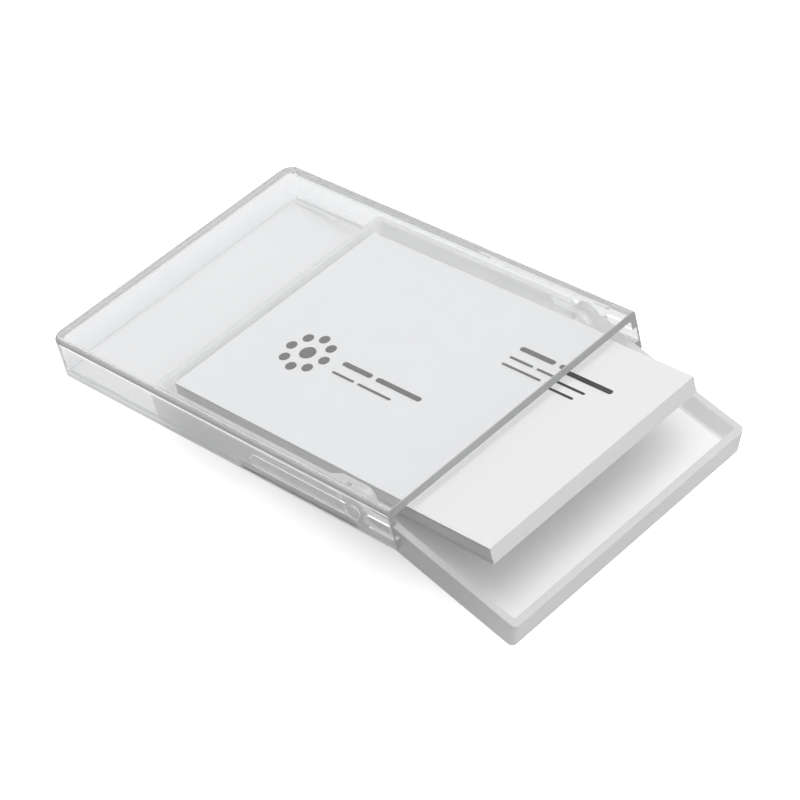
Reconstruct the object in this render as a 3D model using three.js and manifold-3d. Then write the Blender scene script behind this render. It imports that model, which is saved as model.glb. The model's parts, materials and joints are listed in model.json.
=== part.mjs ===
// A clear sliding box for business cards. A sleeve carries a frosted tray that
// slides out of its open end, and the front of the tray is a flap that drops down
// on two pins, so that the cards can be taken out.
//
// Millimetres. Each piece is drawn in the sleeve's own frame: x runs from the
// sleeve's closed end to its open end, y across it, and z up from its bottom edge.
// The box stands slid open, on the closed end of the sleeve and the front of the flap.

import * as THREE from 'three';
import { mergeVertices } from 'three/addons/utils/BufferGeometryUtils.js';
import Module from 'manifold-3d';

const wasm = await Module();
wasm.setup();

// Cards
const cardLength = 85;
const cardWidth = 55;
const cardThickness = 0.21;
const cardSpacing = 0.015;
const cardCount = 17;
const cardStagger = 0.06;
const slipTurn = 2.4;
const driftTurn = 1.7;

// Room round the cards
const cardRearRoom = 1.0;
const cardFrontRoom = 7.0;
const cardSideRoom = 1.1;
const cardFloorRoom = 0.3;
const rimAboveCards = 1.075;

// Tray and flap walls
const trayWall = 1.4;
const trayFloor = 1.1;
const trayRearLength = 57.6;
const trayCornerRadius = 1.6;
const flapFloor = 0.9;
const flapFrontWall = 1.5;
const flapCornerRadius = 1.2;
const rimRounding = 0.35;

// Hinge between tray and flap
const pinHeight = 3.6;
const pinRadius = 1.4;
const pinPlay = 0.2;
const armThickness = 1.2;
const armRing = 0.8;
const hingeSidePlay = 0.3;
const earMargin = 0.3;
const floorGap = 0.5;
const flapFloorStart = 0.8;
const armUnderCut = THREE.MathUtils.degToRad(-126);
const flapOpenAngle = THREE.MathUtils.degToRad(20.5);

// Sleeve
const sleeveWall = 1.65;
const sleevePlate = 1.8;
const sidePlay = 0.35;
const floorPlay = 0.2;
const roofPlay = 0.9;
const endPlay = 0.45;
const frontReveal = 1.0;
const pinStopDepth = 10.8;
const closedCornerRadius = 3.0;
const topEdgeRounding = 0.9;
const innerRounding = 0.6;

// Guides inside the sleeve
const lipReach = 0.8;
const lipThickness = 0.8;
const lipPlay = 0.3;
const lipEndGap = 3.0;
const grooveDepth = 0.8;
const grooveTipPlay = 0.15;
const postWidth = 1.6;
const leadInDepth = 0.5;

// Smoothness of the curves
const cornerSteps = 6;
const roundingSteps = 4;
const circleSteps = 28;

// Everything below follows from the sizes above.
const stackHeight = cardCount * (cardThickness + cardSpacing);
const trayHeight = trayFloor + cardFloorRoom + stackHeight + rimAboveCards;
const armInner = cardWidth / 2 + cardSideRoom;
const armOuter = armInner + armThickness;
const trayInner = armOuter + hingeSidePlay;
const trayOuter = trayInner + trayWall;
const sleeveInner = trayOuter + sidePlay;
const sleeveOuter = sleeveInner + sleeveWall;
const sleeveRoof = floorPlay + trayHeight + roofPlay;
const sleeveHeight = sleeveRoof + sleevePlate;
const cardRear = trayWall + cardRearRoom - trayRearLength;
const flapLength = cardRear + cardLength + cardFrontRoom + flapFrontWall;
const closedPinX = sleeveWall + endPlay + trayRearLength;
const sleeveLength = closedPinX + flapLength - frontReveal;
const openPinX = sleeveLength - pinStopDepth;
const pinZ = floorPlay + pinHeight;
const trayBottom = -pinHeight;
const trayRim = trayBottom + trayHeight;
const earRadius = pinHeight - earMargin;
const holeRadius = pinRadius + pinPlay;
const armRadius = holeRadius + armRing;
const openFlapFloorStart = flapFloorStart * Math.cos(flapOpenAngle) - pinHeight * Math.sin(flapOpenAngle);
const trayFloorFront = openFlapFloorStart - floorGap;

// A closed mesh becomes a solid that can be joined and cut.
function toSolid(geometry) {
  const bare = geometry.clone();
  bare.deleteAttribute('normal');
  bare.deleteAttribute('uv');
  const merged = mergeVertices(bare, 1e-4);
  return new wasm.Manifold(new wasm.Mesh({
    numProp: 3,
    vertProperties: new Float32Array(merged.attributes.position.array),
    triVerts: new Uint32Array(merged.index.array),
  }));
}

function toGeometry(solid) {
  const mesh = solid.getMesh();
  const geometry = new THREE.BufferGeometry();
  geometry.setAttribute('position', new THREE.BufferAttribute(new Float32Array(mesh.vertProperties), 3));
  geometry.setIndex(new THREE.BufferAttribute(new Uint32Array(mesh.triVerts), 1));
  geometry.computeVertexNormals();
  return geometry;
}

// A box between two corners.
function block(low, high) {
  const size = high.map((value, axis) => value - low[axis]);
  const geometry = new THREE.BoxGeometry(size[0], size[1], size[2]);
  geometry.translate(low[0] + size[0] / 2, low[1] + size[1] / 2, low[2] + size[2] / 2);
  return toSolid(geometry);
}

// A shape drawn in x and z, running across the box from one y to another.
function acrossBox(shape, fromY, toY) {
  const geometry = new THREE.ExtrudeGeometry(shape, {
    depth: toY - fromY,
    bevelEnabled: false,
    curveSegments: circleSteps,
  });
  geometry.rotateX(Math.PI / 2);
  geometry.translate(0, toY, 0);
  return toSolid(geometry);
}

// A shape drawn in x and y, standing from one z to another.
function upright(shape, fromZ, toZ) {
  const geometry = new THREE.ExtrudeGeometry(shape, { depth: toZ - fromZ, bevelEnabled: false });
  geometry.translate(0, 0, fromZ);
  return toSolid(geometry);
}

// Both sides of the box carry the same detail.
function bothSides(solid) {
  const mirrored = solid.scale([1, -1, 1]);
  return solid.add(mirrored);
}

// Plan outline with one corner radius at the rear and another at the front.
function planOutline({ rear, front, half, rearRadius, frontRadius }, inset) {
  const corners = [
    { x: front - inset, y: half - inset, radius: frontRadius, start: 0, signX: -1, signY: -1 },
    { x: rear + inset, y: half - inset, radius: rearRadius, start: Math.PI / 2, signX: 1, signY: -1 },
    { x: rear + inset, y: inset - half, radius: rearRadius, start: Math.PI, signX: 1, signY: 1 },
    { x: front - inset, y: inset - half, radius: frontRadius, start: -Math.PI / 2, signX: -1, signY: 1 },
  ];
  return corners.flatMap((corner) => {
    const radius = Math.max(corner.radius - inset, 0.05);
    return Array.from({ length: cornerSteps + 1 }, (_, step) => {
      const angle = corner.start + (step / cornerSteps) * (Math.PI / 2);
      const x = corner.x + corner.signX * radius + radius * Math.cos(angle);
      const y = corner.y + corner.signY * radius + radius * Math.sin(angle);
      return new THREE.Vector2(x, y);
    });
  });
}

// A body lofted through insets of one plan outline, from the lowest to the highest.
function loft(plan, levels) {
  const rings = levels.map(({ inset }) => planOutline(plan, inset));
  const count = rings[0].length;
  const positions = rings.flatMap((ring, level) => ring.flatMap(({ x, y }) => [x, y, levels[level].z]));
  const faces = [];
  for (let level = 0; level + 1 < rings.length; level += 1) {
    for (let point = 0; point < count; point += 1) {
      const next = (point + 1) % count;
      const low = level * count;
      const high = low + count;
      faces.push(low + point, low + next, high + next);
      faces.push(low + point, high + next, high + point);
    }
  }
  const top = (rings.length - 1) * count;
  THREE.ShapeUtils.triangulateShape(rings[0], []).forEach(([a, b, c]) => faces.push(a, c, b));
  THREE.ShapeUtils.triangulateShape(rings[rings.length - 1], []).forEach(([a, b, c]) => {
    faces.push(top + a, top + b, top + c);
  });
  const geometry = new THREE.BufferGeometry();
  geometry.setAttribute('position', new THREE.Float32BufferAttribute(positions, 3));
  geometry.setIndex(faces);
  return toSolid(geometry);
}

// Levels of a body whose upper edge is rounded.
function roundedTop(fromZ, toZ, radius) {
  const levels = [{ z: fromZ, inset: 0 }];
  for (let step = 0; step <= roundingSteps; step += 1) {
    const angle = (step / roundingSteps) * (Math.PI / 2);
    levels.push({ z: toZ - radius * (1 - Math.sin(angle)), inset: radius * (1 - Math.cos(angle)) });
  }
  return levels;
}

// A slot with two round ends, drawn in x and z.
function slotShape(fromX, toX, z, radius) {
  const shape = new THREE.Shape();
  shape.absarc(toX, z, radius, -Math.PI / 2, Math.PI / 2, false);
  shape.absarc(fromX, z, radius, Math.PI / 2, Math.PI * 1.5, false);
  shape.closePath();
  return shape;
}

function discShape(radius) {
  const shape = new THREE.Shape();
  shape.absarc(0, 0, radius, 0, Math.PI * 2, false);
  return shape;
}

// Clear sleeve: a roof plate, two side walls and a closed end, open below and in front.
function makeSleeve() {
  const outer = {
    rear: 0,
    front: sleeveLength + closedCornerRadius,
    half: sleeveOuter,
    rearRadius: closedCornerRadius,
    frontRadius: 0,
  };
  const inner = {
    rear: sleeveWall,
    front: sleeveLength + 2 * closedCornerRadius,
    half: sleeveInner,
    rearRadius: closedCornerRadius - sleeveWall,
    frontRadius: 0,
  };
  const body = loft(outer, roundedTop(0, sleeveHeight, topEdgeRounding));
  const room = loft(inner, roundedTop(-1, sleeveRoof, innerRounding));
  const beyondOpenEnd = block(
    [sleeveLength, -2 * sleeveOuter, -sleeveHeight],
    [2 * sleeveLength, 2 * sleeveOuter, 2 * sleeveHeight],
  );
  const lipTip = closedPinX - earRadius - lipEndGap;
  const lip = block(
    [sleeveWall / 2, sleeveInner - lipReach, 0],
    [lipTip, sleeveInner + sleeveWall / 2, lipThickness],
  );
  const wallEdge = sleeveInner - sidePlay / 2;
  const travel = slotShape(closedPinX, openPinX, pinZ, holeRadius);
  const groove = acrossBox(travel, wallEdge, sleeveInner + grooveDepth);
  const leadInStart = openPinX + holeRadius + postWidth + holeRadius;
  const leadInShape = slotShape(leadInStart, sleeveLength + holeRadius, pinZ, holeRadius);
  const leadIn = acrossBox(leadInShape, wallEdge, sleeveInner + leadInDepth);
  return body
    .subtract(beyondOpenEnd)
    .subtract(room)
    .add(bothSides(lip))
    .subtract(bothSides(groove))
    .subtract(bothSides(leadIn));
}

// Rear tray: floor, rear wall, side walls that ride over the sleeve's lips, and two
// arms that step in to take the flap's pins. Drawn from the pins' axis.
function makeTray() {
  const wallFront = -(earRadius + sidePlay);
  const outer = {
    rear: -trayRearLength,
    front: wallFront,
    half: trayOuter,
    rearRadius: trayCornerRadius,
    frontRadius: 0,
  };
  const inner = {
    rear: trayWall - trayRearLength,
    front: trayRearLength,
    half: trayInner,
    rearRadius: trayCornerRadius / 2,
    frontRadius: 0,
  };
  const body = loft(outer, roundedTop(trayBottom, trayRim, rimRounding));
  const room = loft(inner, [
    { z: trayBottom + trayFloor, inset: rimRounding },
    { z: trayBottom + trayFloor + rimRounding, inset: 0 },
    { z: trayRim + trayHeight, inset: 0 },
  ]);
  const floor = block(
    [wallFront - trayFloor, -armOuter, trayBottom],
    [trayFloorFront, armOuter, trayBottom + trayFloor],
  );
  const rebateTop = trayBottom - floorPlay + lipThickness + lipPlay;
  const rebate = block(
    [-2 * trayRearLength, sleeveInner - lipReach - lipPlay, trayBottom - trayHeight],
    [trayRearLength, sleeveOuter, rebateTop],
  );
  const hole = acrossBox(discShape(holeRadius), armInner - armThickness, trayInner);
  return body
    .subtract(room)
    .add(floor)
    .add(bothSides(makeArm(wallFront)))
    .subtract(bothSides(rebate))
    .subtract(bothSides(hole));
}

// One arm of the tray: it steps in from the side wall and ends round the pin's hole.
function makeArm(wallFront) {
  const stepLength = 2 * armThickness;
  const plan = new THREE.Shape();
  plan.moveTo(wallFront - 2 * stepLength, trayInner + trayWall / 4);
  plan.lineTo(wallFront - 2 * stepLength, trayInner);
  plan.lineTo(wallFront - stepLength, armInner);
  plan.lineTo(armRadius, armInner);
  plan.lineTo(armRadius, armOuter);
  plan.lineTo(wallFront, armOuter);
  plan.lineTo(wallFront, trayInner + trayWall / 4);
  plan.closePath();
  const rear = wallFront - 3 * stepLength;
  const side = new THREE.Shape();
  side.moveTo(rear, trayRim - rimRounding);
  side.lineTo(rear, trayBottom);
  side.lineTo(wallFront + holeRadius, trayBottom);
  side.absarc(0, 0, armRadius, armUnderCut, Math.PI / 2, false);
  side.lineTo(wallFront, trayRim - rimRounding);
  side.closePath();
  const standing = upright(plan, trayBottom, trayRim);
  return standing.intersect(acrossBox(side, armInner - armThickness, trayOuter));
}

// Front flap: floor, front wall and side walls, with a round ear and a pin on each
// side. The pin goes inward through the tray's arm and outward into the groove.
function makeFlap() {
  const outer = {
    rear: -earRadius,
    front: flapLength,
    half: trayOuter,
    rearRadius: 0,
    frontRadius: flapCornerRadius,
  };
  const inner = {
    rear: -2 * earRadius,
    front: flapLength - flapFrontWall,
    half: trayInner,
    rearRadius: 0,
    frontRadius: flapCornerRadius / 2,
  };
  const body = loft(outer, roundedTop(trayBottom, earRadius, rimRounding));
  const room = loft(inner, [
    { z: trayBottom + flapFloor, inset: rimRounding },
    { z: trayBottom + flapFloor + rimRounding, inset: 0 },
    { z: trayRim + trayHeight, inset: 0 },
  ]);
  const behindFloor = block([-flapLength, -trayInner, -flapLength], [flapFloorStart, trayInner, flapLength]);
  const earAngle = Math.acos(flapFloorStart / earRadius);
  const side = new THREE.Shape();
  side.moveTo(2 * flapLength, trayBottom);
  side.lineTo(2 * flapLength, trayRim);
  side.lineTo(2 * earRadius, trayRim);
  side.quadraticCurveTo(earRadius, trayRim, earRadius * Math.SQRT1_2, earRadius * Math.SQRT1_2);
  side.absarc(0, 0, earRadius, Math.PI / 4, Math.PI * 2 - earAngle, false);
  side.lineTo(flapFloorStart, trayBottom);
  side.closePath();
  const pinTip = sleeveInner + grooveDepth - grooveTipPlay;
  const pin = acrossBox(discShape(pinRadius), armInner + grooveTipPlay, pinTip);
  return body
    .subtract(room)
    .subtract(behindFloor)
    .intersect(acrossBox(side, -sleeveOuter, sleeveOuter))
    .add(bothSides(pin));
}

// One card of the stack, set a little off its neighbours.
function makeCard(index) {
  const low = trayBottom + trayFloor + cardFloorRoom + index * (cardThickness + cardSpacing);
  const slip = cardStagger * Math.sin(index * slipTurn);
  const drift = (cardStagger / 2) * Math.cos(index * driftTurn);
  const geometry = new THREE.BoxGeometry(cardLength, cardWidth, cardThickness);
  geometry.translate(cardRear + cardLength / 2 + slip, drift, low + cardThickness / 2);
  return geometry;
}

const clearPlastic = new THREE.MeshStandardMaterial({
  color: 0xf3f6f7,
  roughness: 0.05,
  metalness: 0,
  transparent: true,
  opacity: 0.25,
});
const frostedPlastic = new THREE.MeshStandardMaterial({
  color: 0xe4e6e7,
  roughness: 0.55,
  metalness: 0,
  transparent: true,
  opacity: 0.8,
});
const cardStock = new THREE.MeshStandardMaterial({ color: 0xf1f2f4, roughness: 0.8, metalness: 0 });

function piece(name, geometry, material) {
  const mesh = new THREE.Mesh(geometry, material);
  mesh.name = name;
  return mesh;
}

// The flap hangs from its pins, and tray, flap and cards hang from the sleeve.
const hinge = new THREE.Group();
hinge.rotation.y = flapOpenAngle;
hinge.add(piece('flap', toGeometry(makeFlap()), frostedPlastic));

const drawer = new THREE.Group();
drawer.position.set(openPinX, 0, pinZ);
drawer.add(piece('tray', toGeometry(makeTray()), frostedPlastic), hinge);
for (let index = 0; index < cardCount; index += 1) {
  const name = `card_${String(index + 1).padStart(2, '0')}`;
  drawer.add(piece(name, makeCard(index), cardStock));
}

// The box leans so that the sleeve's closed end and the flap's front edge both stand
// on the ground.
const footX = openPinX + flapLength * Math.cos(flapOpenAngle) + trayBottom * Math.sin(flapOpenAngle);
const footZ = pinZ - flapLength * Math.sin(flapOpenAngle) + trayBottom * Math.cos(flapOpenAngle);
const leaning = new THREE.Group();
leaning.rotation.y = Math.atan2(footZ, footX);
leaning.add(piece('sleeve', toGeometry(makeSleeve()), clearPlastic), drawer);

// The origin is on the ground, under the middle of the box.
const box = new THREE.Group();
box.add(leaning);
box.updateMatrixWorld(true);
const extent = new THREE.Box3().setFromObject(box, true);
leaning.position.set(-(extent.min.x + extent.max.x) / 2, 0, -extent.min.z);
box.updateMatrixWorld(true);

export default box;
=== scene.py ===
# Looks of a clear sliding box for business cards, standing slid open with its flap down.
#
# Every piece is drawn in millimetres in the frame of the part that carries it, with the
# origin on the axis of the flap's pins: x runs along the box to its open end, y across
# it, z up. carry_over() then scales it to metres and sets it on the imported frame.

import json
import math

import bmesh
import bpy
from mathutils import Matrix, Vector


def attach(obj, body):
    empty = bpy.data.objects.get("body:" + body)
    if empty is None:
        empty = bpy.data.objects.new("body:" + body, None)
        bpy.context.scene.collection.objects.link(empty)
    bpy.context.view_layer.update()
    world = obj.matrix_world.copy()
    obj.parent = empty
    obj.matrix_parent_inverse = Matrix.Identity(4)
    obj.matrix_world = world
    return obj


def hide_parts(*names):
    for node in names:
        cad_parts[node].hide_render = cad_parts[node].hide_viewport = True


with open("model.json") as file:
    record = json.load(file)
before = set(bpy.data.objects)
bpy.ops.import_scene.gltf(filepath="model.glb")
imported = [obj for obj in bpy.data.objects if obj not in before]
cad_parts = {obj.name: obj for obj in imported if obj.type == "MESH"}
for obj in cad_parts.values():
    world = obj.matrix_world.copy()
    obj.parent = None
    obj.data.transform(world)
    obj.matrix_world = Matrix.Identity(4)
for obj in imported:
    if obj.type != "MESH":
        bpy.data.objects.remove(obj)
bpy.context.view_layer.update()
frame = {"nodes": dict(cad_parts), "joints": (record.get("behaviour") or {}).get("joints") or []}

MM = 0.001

# Walls of the sleeve
SLEEVE_WALL = 1.65
SLEEVE_PLATE = 1.8
CLOSED_CORNER = 3.0
OPEN_END_BREAK = 0.15
TOP_ROUNDING = 0.9
INNER_ROUNDING = 0.6
FOOT_CHAMFER = 0.35
LIP_REACH = 0.8
LIP_THICKNESS = 0.8
LIP_END_GAP = 3.0
GROOVE_DEPTH = 0.8
LEAD_IN_DEPTH = 1.1
POST_WIDTH = 1.6

# Walls of the tray and the flap
TRAY_WALL = 1.4
TRAY_FLOOR = 1.1
TRAY_CORNER = 1.6
FLAP_FLOOR = 0.9
FLAP_FRONT_WALL = 1.5
FLAP_CORNER = 1.2
RIM_ROUNDING = 0.35
EDGE_BREAK = 0.12

# Hinge
SIDE_PLAY = 0.35
FLOOR_PLAY = 0.2
PIN_RADIUS = 1.4
PIN_PLAY = 0.2
ARM_THICKNESS = 1.2
ARM_RING = 0.8
HINGE_SIDE_PLAY = 0.3
EAR_MARGIN = 0.3
FLOOR_GAP = 0.5
FLAP_FLOOR_START = 0.8
ARM_UNDER_CUT = math.radians(-126)
LIP_PLAY = 0.3
GROOVE_TIP_PLAY = 0.15

# Smoothness of the curves
CORNER_STEPS = 12
ROUNDING_STEPS = 6
CIRCLE_STEPS = 64
BEVEL_STEPS = 2

# An edge that bends more than this is sharp and gets broken
SHARP_BEND = math.radians(60)

# No corner of an outline has a smaller radius than this
SMALLEST_CORNER = 0.05

# Camera: its place in the row frame, its lens and its sensor are in millimetres
CAMERA_PLACE = Vector((328.756, -265.147, 394.164))
CAMERA_FORWARD = Vector((-0.56861, 0.46169, -0.68083))
CAMERA_UP = Vector((-0.41595, 0.55267, 0.72218))
CAMERA_LENS = 134.5
SENSOR_WIDTH = 36

# Nearest and furthest that the camera sees, in metres
CAMERA_CLIP = (0.01, 20)


# Frames

slide = next(j for j in frame["joints"] if j["type"] == "slide")
hinge = next(j for j in frame["joints"] if j["type"] == "hinge")
along_box = Vector(slide["axis"]).normalized()
lean = math.atan2(along_box.z, along_box.x)
drop = -math.radians(hinge["range_deg"][0])
tray_travel = -slide["range_m"][0] / MM
level_frame = Matrix.Translation(hinge["pos_m"]) @ Matrix.Rotation(-lean, 4, "Y") @ Matrix.Scale(MM, 4)
flap_frame = level_frame @ Matrix.Rotation(drop, 4, "Y")


def own_box(node, own_frame):
    """Lowest and highest corner of a CAD node in its own frame, in millimetres."""
    to_own = own_frame.inverted()
    points = [to_own @ vertex.co for vertex in frame["nodes"][node].data.vertices]
    low = Vector(min(p[axis] for p in points) for axis in range(3))
    high = Vector(max(p[axis] for p in points) for axis in range(3))
    return low, high


sleeve_low, sleeve_high = own_box("sleeve", level_frame)
tray_low, tray_high = own_box("tray", level_frame)
flap_high = own_box("flap", flap_frame)[1]
card_nodes = sorted(name for name in frame["nodes"] if name.startswith("card_"))
first_card_low, first_card_high = own_box(card_nodes[0], level_frame)
top_card_high = own_box(card_nodes[-1], level_frame)[1]

sleeve_inner = sleeve_high.y - SLEEVE_WALL
sleeve_roof = sleeve_high.z - SLEEVE_PLATE
tray_outer = tray_high.y
tray_inner = tray_outer - TRAY_WALL
tray_rim = tray_high.z
tray_bottom = tray_low.z
arm_outer = tray_inner - HINGE_SIDE_PLAY
arm_inner = arm_outer - ARM_THICKNESS
ear_radius = -tray_bottom - EAR_MARGIN
hole_radius = PIN_RADIUS + PIN_PLAY
arm_radius = hole_radius + ARM_RING
wall_front = -(ear_radius + SIDE_PLAY)

# Heights that clear every wall of the tray and the flap, for the tools that cut them
well_above = -3 * tray_bottom
well_below = 3 * tray_bottom


# Camera

def make_camera():
    data = bpy.data.cameras.new("camera")
    data.lens = CAMERA_LENS
    data.sensor_width = SENSOR_WIDTH
    camera = bpy.data.objects.new("camera", data)
    bpy.context.scene.collection.objects.link(camera)
    forward = CAMERA_FORWARD.normalized()
    right = forward.cross(CAMERA_UP).normalized()
    up = right.cross(forward)
    turn = Matrix((right, up, -forward)).transposed()
    camera.matrix_world = Matrix.Translation(CAMERA_PLACE * MM) @ turn.to_4x4()
    data.clip_start, data.clip_end = CAMERA_CLIP
    bpy.context.scene.camera = camera


# Solids

def new_object(name, points, faces):
    mesh = bpy.data.meshes.new(name)
    mesh.from_pydata([tuple(p) for p in points], [], faces)
    mesh.update()
    piece = bpy.data.objects.new(name, mesh)
    bpy.context.scene.collection.objects.link(piece)
    return piece


def evaluated_mesh(piece):
    """A new mesh with the piece's modifiers applied."""
    graph = bpy.context.evaluated_depsgraph_get()
    return bpy.data.meshes.new_from_object(piece.evaluated_get(graph))


def apply_modifiers(piece):
    mesh = evaluated_mesh(piece)
    piece.modifiers.clear()
    piece.data = mesh


def combine(base, other, operation):
    """Joins other onto base, or cuts base with it."""
    change = base.modifiers.new("change", "BOOLEAN")
    change.operation = operation
    change.solver = "EXACT"
    change.object = other
    apply_modifiers(base)
    bpy.data.objects.remove(other)
    return base


def arc(centre, radius, start, end, steps):
    """Points on an arc, as (x, second) pairs."""
    angles = [start + (end - start) * step / steps for step in range(steps + 1)]
    return [(centre[0] + radius * math.cos(a), centre[1] + radius * math.sin(a)) for a in angles]


def prism(name, ring, place):
    """A closed solid between two copies of a ring; place(point, 0 or 1) gives a point of each end."""
    count = len(ring)
    points = [place(point, end) for end in (0, 1) for point in ring]
    faces = [tuple(range(count))[::-1], tuple(range(count, 2 * count))]
    for index in range(count):
        following = (index + 1) % count
        faces.append((index, following, count + following, count + index))
    piece = new_object(name, points, faces)
    face_outward(piece)
    return piece


def face_outward(piece):
    shape = bmesh.new()
    shape.from_mesh(piece.data)
    bmesh.ops.recalc_face_normals(shape, faces=shape.faces)
    shape.to_mesh(piece.data)
    shape.free()


def upright(ring, low, high):
    """A ring drawn in x and y, standing from one z to another."""
    return prism("upright", ring, lambda point, end: (point[0], point[1], high if end else low))


def across(ring, low, high):
    """A ring drawn in x and z, running across the box from one y to another."""
    return prism("across", ring, lambda point, end: (point[0], high if end else low, point[1]))


def block(low, high):
    ring = [(low[0], low[1]), (high[0], low[1]), (high[0], high[1]), (low[0], high[1])]
    return upright(ring, low[2], high[2])


def plan_outline(rear, front, half, rear_radius, front_radius, inset):
    """Plan outline with one corner radius at the rear and another at the front."""
    corners = [
        (front - inset, half - inset, front_radius, 0.0, -1, -1),
        (rear + inset, half - inset, rear_radius, 0.5, 1, -1),
        (rear + inset, inset - half, rear_radius, 1.0, 1, 1),
        (front - inset, inset - half, front_radius, 1.5, -1, 1),
    ]
    ring = []
    for x, y, radius, half_turns, toward_x, toward_y in corners:
        radius = max(radius - inset, SMALLEST_CORNER)
        start = half_turns * math.pi
        centre = (x + toward_x * radius, y + toward_y * radius)
        ring += arc(centre, radius, start, start + math.pi / 2, CORNER_STEPS)
    return ring


def loft(name, plan, levels):
    """A body through insets of one plan outline, from the lowest level to the highest."""
    rings = [plan_outline(*plan, inset) for _, inset in levels]
    count = len(rings[0])
    points = [(x, y, z) for ring, (z, _) in zip(rings, levels) for x, y in ring]
    faces = [tuple(range(count))[::-1]]
    for level in range(len(rings) - 1):
        for index in range(count):
            following = (index + 1) % count
            low = level * count
            faces.append((low + index, low + following, low + count + following, low + count + index))
    top = (len(rings) - 1) * count
    faces.append(tuple(range(top, top + count)))
    return new_object(name, points, faces)


def rounded_top(low, high, radius):
    """Levels of a body whose upper edge is rounded."""
    levels = [(low, 0.0)]
    for step in range(ROUNDING_STEPS + 1):
        angle = step / ROUNDING_STEPS * math.pi / 2
        levels.append((high - radius * (1 - math.sin(angle)), radius * (1 - math.cos(angle))))
    return levels


def broken_bottom(levels):
    """The same levels with the sharp lower edge broken."""
    low, inset = levels[0]
    return [(low, inset + EDGE_BREAK), (low + EDGE_BREAK, inset)] + levels[1:]


def slot_ring(from_x, to_x, z, radius):
    """A slot with two round ends."""
    steps = CIRCLE_STEPS // 2
    near = arc((to_x, z), radius, -math.pi / 2, math.pi / 2, steps)
    far = arc((from_x, z), radius, math.pi / 2, math.pi * 1.5, steps)
    return near + far


def disc_ring(radius):
    return arc((0, 0), radius, 0, 2 * math.pi * (1 - 1 / CIRCLE_STEPS), CIRCLE_STEPS - 1)


def break_edges(shape, edges, width):
    """Bevels those of the edges that are sharp."""
    sharp = [edge for edge in edges if edge.calc_face_angle(0) > SHARP_BEND]
    bmesh.ops.bevel(shape, geom=sharp, offset=width, segments=BEVEL_STEPS, affect="EDGES", profile=0.5)


def on_both_sides(base, make, operation):
    """Joins or cuts the same detail on both sides of the box."""
    for side in (1, -1):
        other = make()
        if side < 0:
            other.data.transform(Matrix.Scale(-1, 4, Vector((0, 1, 0))))
            other.data.flip_normals()
        combine(base, other, operation)


# Sleeve

def make_sleeve():
    rear = sleeve_low.x
    front = sleeve_high.x
    bottom = sleeve_low.z
    beyond = front + CLOSED_CORNER
    outer = (rear, beyond, sleeve_high.y, CLOSED_CORNER, 0)
    inner = (rear + SLEEVE_WALL, 2 * beyond, sleeve_inner, CLOSED_CORNER - SLEEVE_WALL, 0)
    body = loft("sleeve_shell", outer, broken_bottom(rounded_top(bottom, sleeve_high.z, TOP_ROUNDING)))
    opening = [(bottom - 1, -FOOT_CHAMFER), (bottom, -FOOT_CHAMFER), (bottom + FOOT_CHAMFER, 0.0)]
    room = loft("room", inner, opening + rounded_top(bottom + 1, sleeve_roof, INNER_ROUNDING))
    side = 2 * sleeve_high.y
    combine(body, block((front, -side, 2 * bottom), (2 * beyond, side, -2 * bottom)), "DIFFERENCE")
    combine(body, room, "DIFFERENCE")
    break_open_end(body, front)
    closed_pin = -tray_travel
    lip_tip = closed_pin - ear_radius - LIP_END_GAP

    def lip():
        low = (rear + SLEEVE_WALL / 2, sleeve_inner - LIP_REACH, bottom)
        return block(low, (lip_tip, sleeve_inner + SLEEVE_WALL / 2, bottom + LIP_THICKNESS))

    def groove():
        ring = slot_ring(closed_pin, 0, 0, hole_radius)
        return across(ring, sleeve_inner - SIDE_PLAY / 2, sleeve_inner + GROOVE_DEPTH)

    def lead_in():
        ring = slot_ring(2 * hole_radius + POST_WIDTH, front + hole_radius, 0, hole_radius)
        return across(ring, sleeve_inner - SIDE_PLAY / 2, sleeve_inner + LEAD_IN_DEPTH)

    on_both_sides(body, lip, "UNION")
    on_both_sides(body, groove, "DIFFERENCE")
    on_both_sides(body, lead_in, "DIFFERENCE")
    return body


def break_open_end(body, front):
    """Breaks the sharp edges round the face of the open end."""
    shape = bmesh.new()
    shape.from_mesh(body.data)
    reach = EDGE_BREAK / 10
    edges = [e for e in shape.edges if all(abs(v.co.x - front) < reach for v in e.verts)]
    break_edges(shape, edges, OPEN_END_BREAK)
    shape.to_mesh(body.data)
    shape.free()


# Faces with a material of their own

# A face is square to an axis when at least this much of its normal lies along it
STRAIGHT = 0.99

# Least and most that the normal rises on the rounding along the sleeve's top
ROUNDING_RISE = (0.2, 0.97)

# Least that it rises on the flap's rim, and most that it does on the flap's walls
RIM_RISE = 0.05
WALL_RISE = 0.5


def find_shaded_sleeve_rims(sleeve):
    """Faces of the open end, of the bottom edge, and of the rounding along the top, which get painted
    shade.
    """
    front = sleeve_high.x - EDGE_BREAK
    foot = sleeve_low.z + EDGE_BREAK
    shoulder = sleeve_high.z - TOP_ROUNDING
    faces = sleeve.data.polygons
    least, most = ROUNDING_RISE
    at_front = [f.index for f in faces if f.normal.x > STRAIGHT and f.center.x > front]
    below = [f.index for f in faces if f.normal.z < -STRAIGHT and f.center.z < foot]
    rounded = [f.index for f in faces if least < f.normal.z < most and f.center.z > shoulder]
    return at_front, below, rounded


def find_flap_shaded_walls(flap):
    """Faces of the flap's rim, and faces outside on its walls, which get painted shade."""
    lowest = tray_rim - RIM_ROUNDING - EDGE_BREAK
    faces = flap.data.polygons
    rim = [f.index for f in faces if f.center.z > lowest and f.normal.z > RIM_RISE]
    wall = []
    for face in faces:
        outward = face.center.y * face.normal.y + max(face.center.x, 0) * face.normal.x
        stands = abs(face.normal.z) < WALL_RISE
        if face.index not in rim and stands and outward > flap_high.y / 2:
            wall.append(face.index)
    return rim, wall


def give_material(piece, faces, material):
    """Adds a material to a piece for some of its faces."""
    piece.data.materials.append(material)
    for index in faces:
        piece.data.polygons[index].material_index = len(piece.data.materials) - 1


# Tray

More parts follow.
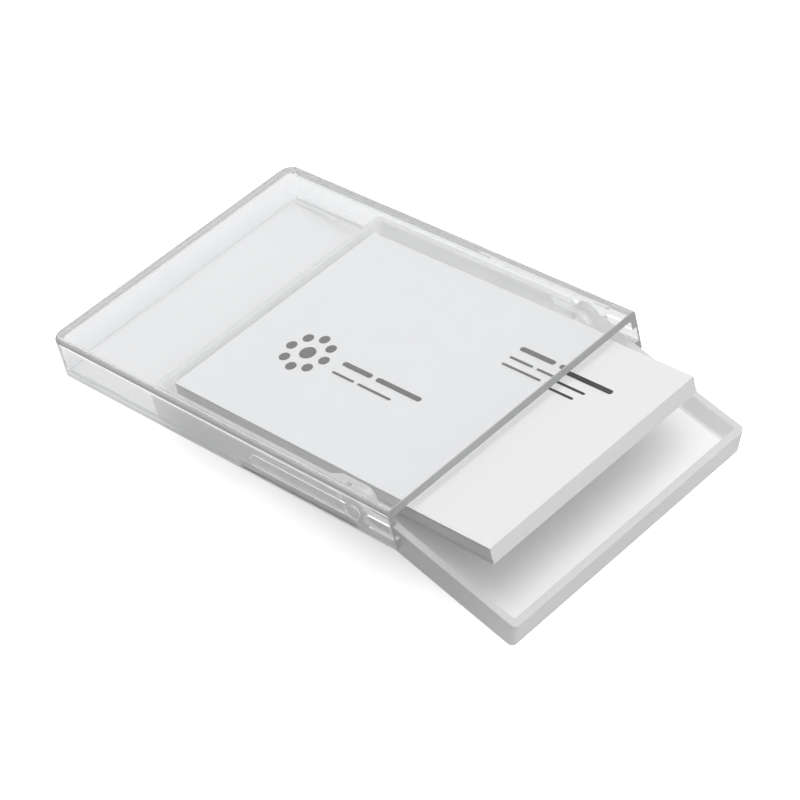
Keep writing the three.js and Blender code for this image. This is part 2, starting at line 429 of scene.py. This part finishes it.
def room_above(floor_top, plan):
    """The room in the tray or the flap, with a rounded foot."""
    levels = [(floor_top, RIM_ROUNDING), (floor_top + RIM_ROUNDING, 0), (well_above, 0)]
    return loft("room", plan, levels)


def make_tray():
    rear = tray_low.x
    outer = (rear, wall_front, tray_outer, TRAY_CORNER, 0)
    inner = (rear + TRAY_WALL, -rear, tray_inner, TRAY_CORNER / 2, 0)
    floor_top = tray_bottom + TRAY_FLOOR
    body = loft("tray_shell", outer, broken_bottom(rounded_top(tray_bottom, tray_rim, RIM_ROUNDING)))
    combine(body, room_above(floor_top, inner), "DIFFERENCE")
    open_floor_start = FLAP_FLOOR_START * math.cos(drop) + tray_bottom * math.sin(drop)
    floor_low = (wall_front - TRAY_FLOOR, -arm_outer, tray_bottom)
    combine(body, block(floor_low, (open_floor_start - FLOOR_GAP, arm_outer, floor_top)), "UNION")

    def rebate():
        low = (2 * rear, sleeve_inner - LIP_REACH - LIP_PLAY, well_below)
        top = tray_bottom - FLOOR_PLAY + LIP_THICKNESS + LIP_PLAY
        return block(low, (-rear, sleeve_high.y, top))

    def hole():
        return across(disc_ring(hole_radius), arm_inner - ARM_THICKNESS, tray_inner)

    on_both_sides(body, make_arm, "UNION")
    on_both_sides(body, rebate, "DIFFERENCE")
    on_both_sides(body, hole, "DIFFERENCE")
    return body


def make_arm():
    """One arm of the tray: it steps in from the side wall and ends round the pin's hole."""
    step_length = 2 * ARM_THICKNESS
    into_wall = tray_inner + TRAY_WALL / 4
    plan = [
        (wall_front - 2 * step_length, into_wall),
        (wall_front - 2 * step_length, tray_inner),
        (wall_front - step_length, arm_inner),
        (arm_radius, arm_inner),
        (arm_radius, arm_outer),
        (wall_front, arm_outer),
        (wall_front, into_wall),
    ]
    rear = wall_front - 3 * step_length
    shoulder = tray_rim - RIM_ROUNDING
    side = [(rear, shoulder), (rear, tray_bottom), (wall_front + hole_radius, tray_bottom)]
    side += arc((0, 0), arm_radius, ARM_UNDER_CUT, math.pi / 2, CIRCLE_STEPS // 2)
    side.append((wall_front, shoulder))
    standing = upright(plan, tray_bottom, tray_rim)
    return combine(standing, across(side, arm_inner - ARM_THICKNESS, tray_outer), "INTERSECT")


# Flap

def make_flap():
    front = flap_high.x
    outer = (-ear_radius, front, tray_outer, 0, FLAP_CORNER)
    inner = (-2 * ear_radius, front - FLAP_FRONT_WALL, tray_inner, 0, FLAP_CORNER / 2)
    floor_top = tray_bottom + FLAP_FLOOR
    body = loft("flap_shell", outer, broken_bottom(rounded_top(tray_bottom, ear_radius, RIM_ROUNDING)))
    combine(body, room_above(floor_top, inner), "DIFFERENCE")
    before_floor = block((-front, -tray_inner, -front), (FLAP_FLOOR_START, tray_inner, front))
    combine(body, before_floor, "DIFFERENCE")
    combine(body, across(flap_side(), -sleeve_high.y, sleeve_high.y), "INTERSECT")

    def pin():
        tip = sleeve_inner + GROOVE_DEPTH - GROOVE_TIP_PLAY
        return across(disc_ring(PIN_RADIUS), arm_inner + GROOVE_TIP_PLAY, tip)

    on_both_sides(body, pin, "UNION")
    return body


def flap_side():
    """Side view of the flap: level rim, a fall from the ear, and the ear round the pin."""
    front = flap_high.x
    ear_angle = math.acos(FLAP_FLOOR_START / ear_radius)
    start = Vector((2 * ear_radius, tray_rim))
    middle = Vector((ear_radius, tray_rim))
    end = Vector((ear_radius, ear_radius)) * math.sqrt(0.5)
    ring = [(2 * front, tray_bottom), (2 * front, tray_rim)]
    for step in range(CORNER_STEPS):
        share = step / CORNER_STEPS
        point = start * (1 - share) ** 2 + middle * 2 * share * (1 - share) + end * share ** 2
        ring.append(tuple(point))
    ring += arc((0, 0), ear_radius, math.pi / 4, 2 * math.pi - ear_angle, CIRCLE_STEPS // 2)
    ring.append((FLAP_FLOOR_START, tray_bottom))
    return ring


# Cards

CARD_EDGE_BREAK = 0.02
CARD_GRID = (28, 18)
CARD_WAVE = 0.012
WAVE_TURNS = (0.11, 0.09)

# Cards that lie a little further from the near side, by how much
CARDS_ASIDE = {"card_02": 0.22, "card_04": 0.28, "card_15": 0.12}


def make_card(node):
    """A card with broken edges and the faint wave of real paper, square on the stack."""
    low, high = own_box(node, level_frame)
    aside = CARDS_ASIDE.get(node, 0)
    low = Vector((first_card_low.x, first_card_low.y + aside, low.z))
    high = Vector((first_card_high.x, first_card_high.y + aside, high.z))
    columns, rows = CARD_GRID
    shape = bmesh.new()
    bmesh.ops.create_grid(shape, x_segments=columns, y_segments=rows, size=0.5)
    size = high - low
    middle = (low + high) / 2
    for vertex in shape.verts:
        vertex.co = Vector((middle.x + vertex.co.x * size.x, middle.y + vertex.co.y * size.y, high.z))
    top_faces = list(shape.faces)
    made = bmesh.ops.extrude_face_region(shape, geom=top_faces)
    lowered = [item for item in made["geom"] if isinstance(item, bmesh.types.BMVert)]
    bmesh.ops.translate(shape, verts=lowered, vec=(0, 0, -size.z))
    bmesh.ops.recalc_face_normals(shape, faces=shape.faces)
    break_edges(shape, shape.edges, CARD_EDGE_BREAK)
    for vertex in shape.verts:
        wave = math.sin(vertex.co.x * WAVE_TURNS[0]) * math.cos(vertex.co.y * WAVE_TURNS[1])
        vertex.co.z += CARD_WAVE * wave
    mesh = bpy.data.meshes.new(node + "_sheet")
    shape.to_mesh(mesh)
    shape.free()
    piece = bpy.data.objects.new(node + "_sheet", mesh)
    bpy.context.scene.collection.objects.link(piece)
    return piece


# Print on the top card

INK_THICKNESS = 0.012
INK_LIFT = 0.02

# Bars that stand for words of print: start from the card's rear near corner, length, width
PRINT_BARS = [
    ((25, 22.0), 8, 1.2),
    ((34.2, 22.0), 12, 1.2),
    ((25, 19.0), 6, 0.6),
    ((32, 19.0), 9, 0.6),
    ((52, 43.4), 9, 1.2),
    ((62.2, 43.4), 13, 1.2),
    ((52, 40.4), 6, 0.6),
    ((59, 40.4), 12, 0.6),
    ((52, 38.2), 10, 0.6),
    ((63, 38.2), 7, 0.6),
]

# A rosette of dots beside them
MARK_CENTRE = (16.5, 20.5)
MARK_RADIUS = 4.6
MARK_DOTS = 8
DOT_RADIUS = 1.15
MIDDLE_DOT_RADIUS = 1.725


def ink_solid(ring):
    """A printed shape; its ring is drawn from the card's rear near corner."""
    low = first_card_low
    surface = top_card_high.z + INK_LIFT
    outline = [(low.x + x, low.y + y) for x, y in ring]
    return prism("ink", outline, lambda point, end: (*point, surface + INK_THICKNESS * end))


def ink_dot(x, y, radius):
    return ink_solid([(x + along, y + aside) for along, aside in disc_ring(radius)])


def make_print():
    """Generic print on the top card: a rosette of dots, and bars for the lines."""
    centre_x, centre_y = MARK_CENTRE
    mark = ink_dot(centre_x, centre_y, MIDDLE_DOT_RADIUS)
    for dot in range(MARK_DOTS):
        angle = 2 * math.pi * dot / MARK_DOTS
        x = centre_x + MARK_RADIUS * math.cos(angle)
        y = centre_y + MARK_RADIUS * math.sin(angle)
        combine(mark, ink_dot(x, y, DOT_RADIUS), "UNION")
    for (x, y), length, width in PRINT_BARS:
        end = width / 2
        combine(mark, ink_solid(slot_ring(x + end, x + length - end, y, end)), "UNION")
    mark.name = "card_print"
    return mark


# Nodes of materials

# Range that most values of the noise lie in
NOISE_RANGE = (0.3, 0.7)


def new_material(name):
    material = bpy.data.materials.new(name)
    material.use_nodes = True
    shader = material.node_tree.nodes["Principled BSDF"]
    return material, material.node_tree, shader


def noise_of(tree, scale, detail, roughness=0.5):
    """Noise that stays with the piece; scale is in cells per metre."""
    place = tree.nodes.new("ShaderNodeTexCoord")
    texture = tree.nodes.new("ShaderNodeTexNoise")
    texture.inputs["Scale"].default_value = scale
    texture.inputs["Detail"].default_value = detail
    texture.inputs["Roughness"].default_value = roughness
    tree.links.new(place.outputs["Object"], texture.inputs["Vector"])
    return texture.outputs["Fac"]


def spread(tree, value, low, high):
    """Maps noise from its usual range to low and high."""
    node = tree.nodes.new("ShaderNodeMapRange")
    node.inputs["From Min"].default_value = NOISE_RANGE[0]
    node.inputs["From Max"].default_value = NOISE_RANGE[1]
    node.inputs["To Min"].default_value = low
    node.inputs["To Max"].default_value = high
    tree.links.new(value, node.inputs["Value"])
    return node.outputs["Result"]


def blend_colours(tree, value, low, high):
    node = tree.nodes.new("ShaderNodeMix")
    node.data_type = "RGBA"
    node.inputs["A"].default_value = (*low, 1)
    node.inputs["B"].default_value = (*high, 1)
    tree.links.new(value, node.inputs["Factor"])
    return node.outputs["Result"]


def colour_surface(tree, shader, cloud, tones, roughness):
    """Lets one noise vary the colour and the roughness; returns the colour."""
    colour = blend_colours(tree, cloud, *tones)
    tree.links.new(colour, shader.inputs["Base Color"])
    tree.links.new(spread(tree, cloud, *roughness), shader.inputs["Roughness"])
    return colour


def bump(tree, shader, value, strength, distance):
    node = tree.nodes.new("ShaderNodeBump")
    node.inputs["Strength"].default_value = strength
    node.inputs["Distance"].default_value = distance
    tree.links.new(value, node.inputs["Height"])
    tree.links.new(node.outputs["Normal"], shader.inputs["Normal"])


def light_path(tree, *kinds):
    """1 for a ray of any of these kinds, otherwise 0."""
    path = tree.nodes.new("ShaderNodeLightPath")
    result = path.outputs[kinds[0]]
    for kind in kinds[1:]:
        either = tree.nodes.new("ShaderNodeMath")
        either.operation = "MAXIMUM"
        tree.links.new(result, either.inputs[0])
        tree.links.new(path.outputs[kind], either.inputs[1])
        result = either.outputs[0]
    return result


def scatter_through(tree, shader, colour, share):
    """The surface, with a share of the light from behind that comes through scattered."""
    glow = tree.nodes.new("ShaderNodeBsdfTranslucent")
    tree.links.new(colour, glow.inputs["Color"])
    mix = tree.nodes.new("ShaderNodeMixShader")
    mix.inputs["Fac"].default_value = share
    tree.links.new(shader.outputs["BSDF"], mix.inputs[1])
    tree.links.new(glow.outputs["BSDF"], mix.inputs[2])
    return mix.outputs["Shader"]


def let_through(tree, surface, lamp_share, sight_share=0.0, tone=(1, 1, 1)):
    """Lets a share of the lamps' light pass the wall, and a share of what is seen through it."""
    clear = tree.nodes.new("ShaderNodeBsdfTransparent")
    clear.inputs["Color"].default_value = (*tone, 1)
    part = tree.nodes.new("ShaderNodeMapRange")
    part.inputs["To Min"].default_value = sight_share
    part.inputs["To Max"].default_value = lamp_share
    tree.links.new(light_path(tree, "Is Shadow Ray", "Is Diffuse Ray"), part.inputs["Value"])
    mix = tree.nodes.new("ShaderNodeMixShader")
    tree.links.new(part.outputs["Result"], mix.inputs["Fac"])
    tree.links.new(surface, mix.inputs[1])
    tree.links.new(clear.outputs["BSDF"], mix.inputs[2])
    output = tree.nodes["Material Output"]
    tree.links.new(mix.outputs["Shader"], output.inputs["Surface"])


# Materials: colours as their darkest and lightest tone, roughness as its range, lengths in metres

CLEAR_TONES = ((0.985, 0.99, 0.995), (0.99, 0.995, 1.0))
CLEAR_ROUGHNESS = (0.0, 0.02)
CLEAR_IOR = 1.53
CLEAR_ABSORBS = (0.2, 0.22, 0.24)
CLEAR_DENSITY = 4.0
CLEAR_LAMP_TONE = (0.955, 0.957, 0.96)

# The sleeve's face at the open end, its foot, and the rounding along its top, in grey tones of painted
# shade
# Open end: an even grey of painted shade, for the dark look through the plate's cut face
END_SHADE_TONES = ((0.37, 0.375, 0.38), (0.41, 0.415, 0.42))
# Foot: a grey of painted shadow, for the shade where the walls stand on the floor
FOOT_SHADOW_TONES = ((0.62, 0.625, 0.625), (0.68, 0.685, 0.685))
# Rounding along the top: a grey of painted shade, for the dark bands seen along the plate's edges
EDGE_SHADE_TONES = ((0.5, 0.505, 0.505), (0.56, 0.565, 0.565))
RIM_ROUGHNESS = (0.35, 0.45)
RIM_TRANSMITS = 0.25
RIM_PASSES = 0.6

# The tray, and the flap with its rim and the outside of its walls: all one plastic, in lit and shaded
# copies
# The tray is a little darker, painted shade under the roof and the cards; the flap's floor is a little
# lighter, painted light
TRAY_SHADE_TONES = ((0.92, 0.92, 0.925), (0.95, 0.95, 0.955))
FLAP_LIGHT_TONES = ((0.97, 0.97, 0.97), (0.985, 0.985, 0.985))
# The flap's rim faces up yet is darker than its floor: painted shade, matching the shaded walls
FLAP_RIM_SHADE_TONES = ((0.66, 0.66, 0.66), (0.7, 0.7, 0.7))
# Outside of the flap's walls: darker than its floor, painted shade on the sides turned from the light
FLAP_WALL_SHADE_TONES = ((0.7, 0.7, 0.7), (0.75, 0.75, 0.75))
FROST_ROUGHNESS = (0.32, 0.42)
FROST_SCATTERS = 0.3
FROST_DEPTH = 0.004
FROST_GLOW = 0.25
FROST_PASSES = 0.95
TRAY_SHOWS = 0.45
FLAP_SHOWS = 0.1
MILKY_IOR = 1.5

CARD_TONES = ((0.81, 0.811, 0.813), (0.865, 0.866, 0.868))
CARD_ROUGHNESS = (0.6, 0.75)
CARD_IOR = 1.4
INK_TONES = ((0.03, 0.029, 0.032), (0.05, 0.047, 0.05))
INK_ROUGHNESS = (0.4, 0.55)


def clear_plastic():
    """Polished polystyrene: clear through its walls, grey along them."""
    material, tree, shader = new_material("clear_plastic")
    shader.inputs["Transmission Weight"].default_value = 1.0
    shader.inputs["IOR"].default_value = CLEAR_IOR
    cloud = noise_of(tree, scale=120, detail=2)
    colour_surface(tree, shader, cloud, CLEAR_TONES, CLEAR_ROUGHNESS)
    bump(tree, shader, noise_of(tree, scale=40, detail=1), strength=0.02, distance=0.0002)
    let_through(tree, shader.outputs["BSDF"], lamp_share=1.0, tone=CLEAR_LAMP_TONE)
    inside = tree.nodes.new("ShaderNodeVolumeAbsorption")
    inside.inputs["Color"].default_value = (*CLEAR_ABSORBS, 1)
    inside.inputs["Density"].default_value = CLEAR_DENSITY
    tree.links.new(inside.outputs["Volume"], tree.nodes["Material Output"].inputs["Volume"])
    return material


def shaded_rim_plastic(name, tones):
    """The same plastic along its edges, matt and slightly milky; its grey tone is painted shade."""
    material, tree, shader = new_material(name)
    shader.inputs["Transmission Weight"].default_value = RIM_TRANSMITS
    shader.inputs["IOR"].default_value = MILKY_IOR
    cloud = noise_of(tree, scale=80, detail=2)
    colour_surface(tree, shader, cloud, tones, RIM_ROUGHNESS)
    bump(tree, shader, noise_of(tree, scale=900, detail=2), strength=0.04, distance=0.00003)
    let_through(tree, shader.outputs["BSDF"], RIM_PASSES)
    return material


def frosted_plastic(name, tones, sight_share):
    """Translucent plastic with a fine satin surface, a little cloudy."""
    material, tree, shader = new_material(name)
    shader.inputs["IOR"].default_value = MILKY_IOR
    shader.inputs["Subsurface Weight"].default_value = FROST_SCATTERS
    shader.inputs["Subsurface Radius"].default_value = (1.0, 1.0, 1.0)
    shader.inputs["Subsurface Scale"].default_value = FROST_DEPTH
    cloud = noise_of(tree, scale=90, detail=3)
    colour = colour_surface(tree, shader, cloud, tones, FROST_ROUGHNESS)
    bump(tree, shader, noise_of(tree, scale=9000, detail=2), strength=0.15, distance=0.00003)
    surface = scatter_through(tree, shader, colour, FROST_GLOW)
    let_through(tree, surface, FROST_PASSES, sight_share)
    return material


def card_stock():
    """White card with the fine grain of its fibres."""
    material, tree, shader = new_material("card_stock")
    shader.inputs["IOR"].default_value = CARD_IOR
    fibres = noise_of(tree, scale=2600, detail=4, roughness=0.6)
    colour_surface(tree, shader, fibres, CARD_TONES, CARD_ROUGHNESS)
    bump(tree, shader, fibres, strength=0.1, distance=0.00003)
    return material


def ink():
    material, tree, shader = new_material("ink")
    grain = noise_of(tree, scale=4000, detail=2)
    colour_surface(tree, shader, grain, INK_TONES, INK_ROUGHNESS)
    bump(tree, shader, grain, strength=0.1, distance=0.00002)
    return material


# Finishing

# An edge that bends more than this is shaded as sharp
SHARP_ANGLE = math.radians(28)


def soften(piece):
    """Smooth shading that leaves flat faces flat and real edges sharp."""
    piece.data.shade_smooth()
    piece.data.set_sharp_from_angle(angle=SHARP_ANGLE)
    weighting = piece.modifiers.new("weighting", "WEIGHTED_NORMAL")
    weighting.keep_sharp = True
    apply_modifiers(piece)


def carry_over(piece, own_frame, body, material, nodes=()):
    """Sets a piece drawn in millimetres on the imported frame."""
    soften(piece)
    piece.data.transform(own_frame)
    piece.data.name = piece.name
    piece.data.materials.clear()
    piece.data.materials.append(material)
    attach(piece, body)
    if nodes:
        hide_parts(*nodes)


# Stage

FLOOR_SIZE = 4.0
FLOOR_CELLS = 8
FLOOR_DROP = 0.0001

# Tones of the floor: seen by itself, seen through plastic or mirrored (darker, painted shade for the
# box's shadow), and as it throws light back
FLOOR_SEEN = 0.95
FLOOR_BEHIND_SHADED = 0.85
FLOOR_BOUNCE = 0.55

# Strength of its own light where it is seen by itself, so that it renders white there
FLOOR_LIFT = 0.4


def make_floor():
    """A pale floor that renders white where nothing shades it and throws less light back up."""
    shape = bmesh.new()
    bmesh.ops.create_grid(shape, x_segments=FLOOR_CELLS, y_segments=FLOOR_CELLS, size=FLOOR_SIZE)
    mesh = bpy.data.meshes.new("floor")
    shape.to_mesh(mesh)
    shape.free()
    floor = bpy.data.objects.new("floor", mesh)
    floor.location.z = -FLOOR_DROP
    bpy.context.scene.collection.objects.link(floor)
    material, tree, shader = new_material("floor")
    through = light_path(tree, "Is Glossy Ray", "Is Transmission Ray")
    direct = light_path(tree, "Is Camera Ray")
    # Seen through plastic or mirrored, the floor takes a darker tone of painted shade
    tone = blend_colours(tree, through, (FLOOR_BOUNCE,) * 3, (FLOOR_BEHIND_SHADED,) * 3)
    seen = tree.nodes.new("ShaderNodeMix")
    seen.data_type = "RGBA"
    seen.inputs["B"].default_value = (FLOOR_SEEN,) * 3 + (1,)
    tree.links.new(direct, seen.inputs["Factor"])
    tree.links.new(tone, seen.inputs["A"])
    tree.links.new(seen.outputs["Result"], shader.inputs["Base Color"])
    shader.inputs["Roughness"].default_value = 1.0
    shader.inputs["Specular IOR Level"].default_value = 0.0
    lift = tree.nodes.new("ShaderNodeMath")
    lift.operation = "MULTIPLY"
    lift.inputs[1].default_value = FLOOR_LIFT
    tree.links.new(direct, lift.inputs[0])
    shader.inputs["Emission Color"].default_value = (1, 1, 1, 1)
    tree.links.new(lift.outputs[0], shader.inputs["Emission Strength"])
    floor.data.materials.append(material)


def area_light(name, place, size, watts):
    """A soft lamp turned to the origin, where the object stands."""
    data = bpy.data.lights.new(name, "AREA")
    data.shape = "RECTANGLE"
    data.size, data.size_y = size
    data.energy = watts
    lamp = bpy.data.objects.new(name, data)
    bpy.context.scene.collection.objects.link(lamp)
    lamp.location = place
    lamp.rotation_mode = "QUATERNION"
    lamp.rotation_quaternion = (-Vector(place)).to_track_quat("-Z", "Y")


# The studio's brighter side, and its tones from behind that side to straight at it
BRIGHT_SIDE = Vector((0.5, 0.62, 0.6)).normalized()
STUDIO_TONES = [(-1.0, 0.0), (-0.5, 0.0), (0.0, 0.1), (0.5, 0.6), (1.0, 1.0)]
STUDIO_STRENGTH = 1.3


def make_world():
    """A soft studio: it lights from its far right side, and is white where it is seen or mirrored."""
    world = bpy.data.worlds.new("studio")
    bpy.context.scene.world = world
    world.use_nodes = True
    tree = world.node_tree
    background = tree.nodes["Background"]
    place = tree.nodes.new("ShaderNodeTexCoord")
    toward = tree.nodes.new("ShaderNodeVectorMath")
    toward.operation = "DOT_PRODUCT"
    toward.inputs[1].default_value = BRIGHT_SIDE
    tree.links.new(place.outputs["Generated"], toward.inputs[0])
    share = tree.nodes.new("ShaderNodeMapRange")
    share.inputs["From Min"].default_value = -1.0
    share.inputs["From Max"].default_value = 1.0
    tree.links.new(toward.outputs["Value"], share.inputs["Value"])
    ramp = tree.nodes.new("ShaderNodeValToRGB")
    stops = ramp.color_ramp.elements
    while len(stops) < len(STUDIO_TONES):
        stops.new(0.5)
    for stop, (facing, tone) in zip(stops, STUDIO_TONES):
        stop.position = (facing + 1) / 2
        stop.color = (tone, tone, tone, 1)
    tree.links.new(share.outputs["Result"], ramp.inputs["Fac"])
    surroundings = tree.nodes.new("ShaderNodeMix")
    surroundings.data_type = "RGBA"
    surroundings.inputs["B"].default_value = (1 / STUDIO_STRENGTH,) * 3 + (1,)
    seen = light_path(tree, "Is Camera Ray", "Is Glossy Ray", "Is Transmission Ray")
    tree.links.new(seen, surroundings.inputs["Factor"])
    tree.links.new(ramp.outputs["Color"], surroundings.inputs["A"])
    tree.links.new(surroundings.outputs["Result"], background.inputs["Color"])
    background.inputs["Strength"].default_value = STUDIO_STRENGTH


def make_lights():
    area_light("over", place=(0.05, 0.05, 0.9), size=(0.7, 0.7), watts=2.8)
    area_light("high_far", place=(0.1, 0.6, 0.7), size=(0.5, 0.5), watts=0.4)
    area_light("far_left", place=(-0.7, 0.46, 0.54), size=(0.9, 0.8), watts=0.6)


# The object

# Light runs along inside the clear plate by many reflections
LIGHT_BOUNCES = 40

make_camera()

sleeve = make_sleeve()
end_shade_faces, foot_shadow_faces, edge_shade_faces = find_shaded_sleeve_rims(sleeve)
carry_over(sleeve, level_frame, "sleeve", clear_plastic(), ["sleeve"])
# The open end, the foot and the top rounding get grey tones of painted shade
give_material(sleeve, end_shade_faces, shaded_rim_plastic("clear_plastic_end_painted_shade", END_SHADE_TONES))
give_material(sleeve, foot_shadow_faces, shaded_rim_plastic("clear_plastic_foot_painted_shadow", FOOT_SHADOW_TONES))
give_material(sleeve, edge_shade_faces, shaded_rim_plastic("clear_plastic_edge_painted_shade", EDGE_SHADE_TONES))

tray_plastic = frosted_plastic("frosted_plastic_tray", TRAY_SHADE_TONES, TRAY_SHOWS)
carry_over(make_tray(), level_frame, "tray", tray_plastic, ["tray"])

# The flap's rim and the outside of its walls take darker copies of its plastic, as painted shade
flap = make_flap()
shaded_rim_faces, shaded_wall_faces = find_flap_shaded_walls(flap)
flap_plastic = frosted_plastic("frosted_plastic_flap", FLAP_LIGHT_TONES, FLAP_SHOWS)
shaded_rim_of_flap = frosted_plastic("frosted_plastic_rim_painted_shade", FLAP_RIM_SHADE_TONES, FLAP_SHOWS)
shaded_wall_of_flap = frosted_plastic("frosted_plastic_wall_painted_shade", FLAP_WALL_SHADE_TONES, FLAP_SHOWS)
carry_over(flap, flap_frame, "flap", flap_plastic, ["flap"])
give_material(flap, shaded_rim_faces, shaded_rim_of_flap)
give_material(flap, shaded_wall_faces, shaded_wall_of_flap)

stock = card_stock()
for node in card_nodes:
    carry_over(make_card(node), level_frame, "tray", stock, [node])
carry_over(make_print(), level_frame, "tray", ink())

make_floor()
make_world()
make_lights()
bpy.context.scene.view_settings.view_transform = "Standard"
cycles = bpy.context.scene.cycles
cycles.max_bounces = LIGHT_BOUNCES
cycles.transmission_bounces = LIGHT_BOUNCES
cycles.glossy_bounces = LIGHT_BOUNCES
